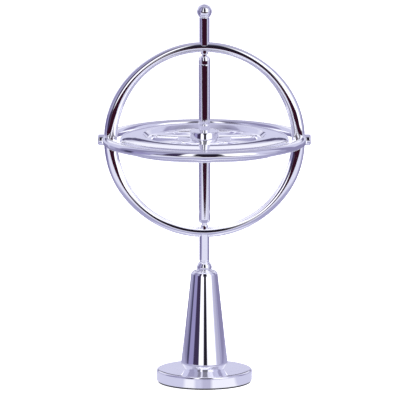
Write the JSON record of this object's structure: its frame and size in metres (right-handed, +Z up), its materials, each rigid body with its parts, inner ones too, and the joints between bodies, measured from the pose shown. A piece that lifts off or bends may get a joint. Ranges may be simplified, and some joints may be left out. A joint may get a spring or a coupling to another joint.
{
  "type": "gyroscope",
  "caption": "Polished metal desk gyroscope: a spoked flywheel on an upright axle inside crossed rings, balanced by its ball end in the cup of a conical stand.",
  "frame": {"origin": "centre of the stand's underside, on the surface that it rests on", "axes": "+Z up along the stand and the axle; the vertical ring lies in the XZ plane; the guard ring and the flywheel are level"},
  "size_m": [0.069, 0.0668, 0.1243],
  "materials": {
    "chrome_plate": "mirror-bright chrome plate",
    "polished_steel": "turned and polished, bright",
    "zinc_steel": "zinc-plated, satin",
    "rubber_pad": "matte black"
  },
  "bodies": {
    "stand": {"foot_pad": "rubber_pad", "base_plate": "chrome_plate", "stand_screw": "zinc_steel", "screw_washer": "zinc_steel", "stand_cone": "chrome_plate"},
    "seat": {"cup_insert": "chrome_plate"},
    "ball_foot": {"bottom_ball": "polished_steel"},
    "frame": {"bottom_stem": "polished_steel", "vertical_ring": "chrome_plate", "horizontal_ring": "chrome_plate", "right_ring_pin": "chrome_plate", "left_ring_pin": "chrome_plate", "upper_bearing_screw": "polished_steel", "lower_bearing_screw": "polished_steel", "top_stem": "polished_steel", "top_ball": "polished_steel"},
    "rotor": {"flywheel": "chrome_plate", "hub_bush": "polished_steel", "axle": "polished_steel", "upper_pivot": "polished_steel", "lower_pivot": "polished_steel"}
  },
  "joints": [
    {"name": "precession", "type": "hinge", "parent": "stand", "child": "seat", "pos_m": [0, 0, 0.034], "axis": [0, 0, 1], "continuous": true},
    {"name": "lift_off", "type": "slide", "parent": "seat", "child": "ball_foot", "axis": [0, 0, 1], "range_m": [0, 0.05]},
    {"name": "lean", "type": "hinge", "parent": "ball_foot", "child": "frame", "pos_m": [0, 0, 0.03775], "axis": [0, 1, 0], "range_deg": [-70, 70]},
    {"name": "rotor_spin", "type": "hinge", "parent": "frame", "child": "rotor", "pos_m": [0, 0, 0.07985], "axis": [0, 0, 1], "continuous": true}
  ]
}
